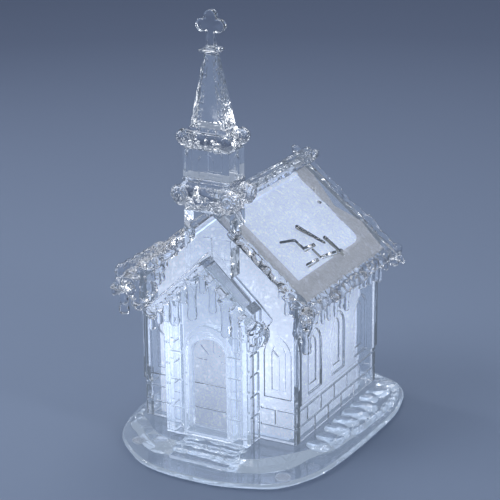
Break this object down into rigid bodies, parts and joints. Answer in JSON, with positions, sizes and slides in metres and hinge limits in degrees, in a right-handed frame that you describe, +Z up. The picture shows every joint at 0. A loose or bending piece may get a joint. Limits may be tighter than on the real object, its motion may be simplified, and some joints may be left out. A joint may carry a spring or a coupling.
{
  "type": "acrylic church ornament",
  "caption": "Clear acrylic church on an ice-like plate, with iced roof, steeple and cross, a glittered white lining and a battery lamp module under its base.",
  "frame": {"origin": "middle of the object's footprint, on the surface that it stands on", "axes": "+Z up, -Y towards the front, where the porch is; +X to its right side"},
  "size_m": [0.1014, 0.1274, 0.1816],
  "materials": {
    "clear_acrylic": "clear, polished, slightly rippled",
    "glitter_sheet": "white with fine silver glitter",
    "white_plastic": "moulded, satin",
    "dark_plastic": "moulded, satin",
    "nickel_plate": "nickel plated",
    "cell_jacket": "printed film, plain",
    "circuit_board": "white lacquer",
    "led_lens": "clear epoxy",
    "clear_rubber": "clear, soft"
  },
  "bodies": {
    "church": {"base_plate": "clear_acrylic", "front_wall": "clear_acrylic", "rear_wall": "clear_acrylic", "right_wall": "clear_acrylic", "left_wall": "clear_acrylic", "right_roof": "clear_acrylic", "left_roof": "clear_acrylic", "ridge_cap": "clear_acrylic", "porch_front": "clear_acrylic", "right_porch_wall": "clear_acrylic", "left_porch_wall": "clear_acrylic", "porch_roof": "clear_acrylic", "door_panel": "clear_acrylic", "tower_block": "clear_acrylic", "lower_collar": "clear_acrylic", "belfry": "clear_acrylic", "upper_collar": "clear_acrylic", "spire": "clear_acrylic", "finial_ring": "clear_acrylic", "cross": "clear_acrylic", "front_sheet": "glitter_sheet", "rear_sheet": "glitter_sheet", "right_sheet": "glitter_sheet", "left_sheet": "glitter_sheet", "right_roof_sheet": "glitter_sheet", "left_roof_sheet": "glitter_sheet", "porch_sheet": "glitter_sheet", "battery_case": "white_plastic", "lamp_tray": "white_plastic", "switch_body": "dark_plastic", "front_lead_contact": "nickel_plate", "front_link_contact": "nickel_plate", "rear_link_contact": "nickel_plate", "rear_lead_contact": "nickel_plate", "battery_spring_1": "nickel_plate", "battery_spring_2": "nickel_plate", "battery_spring_3": "nickel_plate", "case_screw_1": "nickel_plate", "case_screw_2": "nickel_plate", "case_screw_3": "nickel_plate", "case_screw_4": "nickel_plate", "battery_cell_1": "cell_jacket", "battery_cell_2": "cell_jacket", "battery_cell_3": "cell_jacket", "lamp_board": "circuit_board", "led_1": "led_lens", "led_2": "led_lens", "led_3": "led_lens", "led_4": "led_lens", "foot_pad_1": "clear_rubber", "foot_pad_2": "clear_rubber", "foot_pad_3": "clear_rubber", "foot_pad_4": "clear_rubber"},
    "battery_lid": {"battery_lid": "white_plastic"},
    "switch_knob": {"switch_knob": "dark_plastic"}
  },
  "joints": [
    {"name": "battery_lid_slide", "type": "slide", "parent": "church", "child": "battery_lid", "axis": [0, 1, 0], "range_m": [0, 0.006]},
    {"name": "switch_slide", "type": "slide", "parent": "church", "child": "switch_knob", "axis": [0, 1, 0], "range_m": [0, 0.002]}
  ]
}
